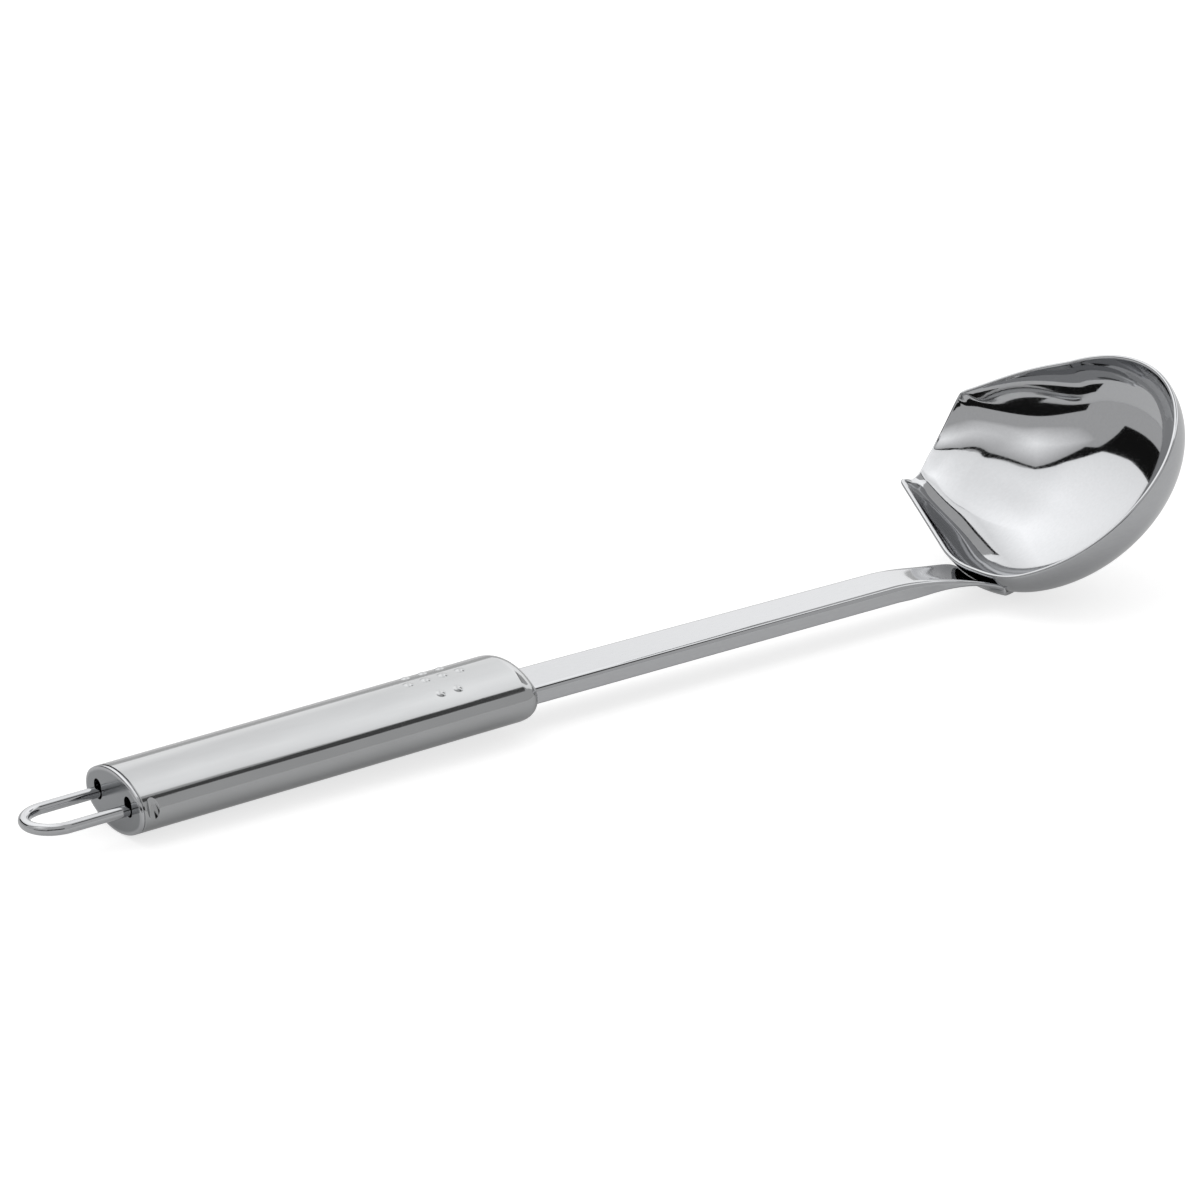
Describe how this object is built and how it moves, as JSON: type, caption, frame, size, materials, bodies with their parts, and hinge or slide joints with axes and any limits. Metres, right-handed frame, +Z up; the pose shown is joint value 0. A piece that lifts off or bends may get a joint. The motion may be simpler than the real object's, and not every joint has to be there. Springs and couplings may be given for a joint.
{
  "type": "sauce ladle",
  "caption": "Stainless steel sauce ladle with a hollow oval handle, a wire hanging loop and a round bowl that pours from a wide spout on its left side.",
  "frame": {"origin": "on the table under the middle of the ladle's length and width, as it lies at rest on the rear end of its handle and the tab under its bowl", "axes": "+X along the handle from the hanging loop to the bowl, +Y to the left, the side of the spout, +Z up"},
  "size_m": [0.2814, 0.0742, 0.0449],
  "materials": {
    "satin_steel": "fine brushed grain along the handle",
    "polished_steel": "mirror polished",
    "cap_steel": "satin face with a polished rim"
  },
  "bodies": {
    "root": {"handle_tube": "satin_steel", "end_cap": "cap_steel", "hanging_loop": "polished_steel", "neck": "polished_steel", "bowl": "polished_steel"}
  },
  "joints": []
}
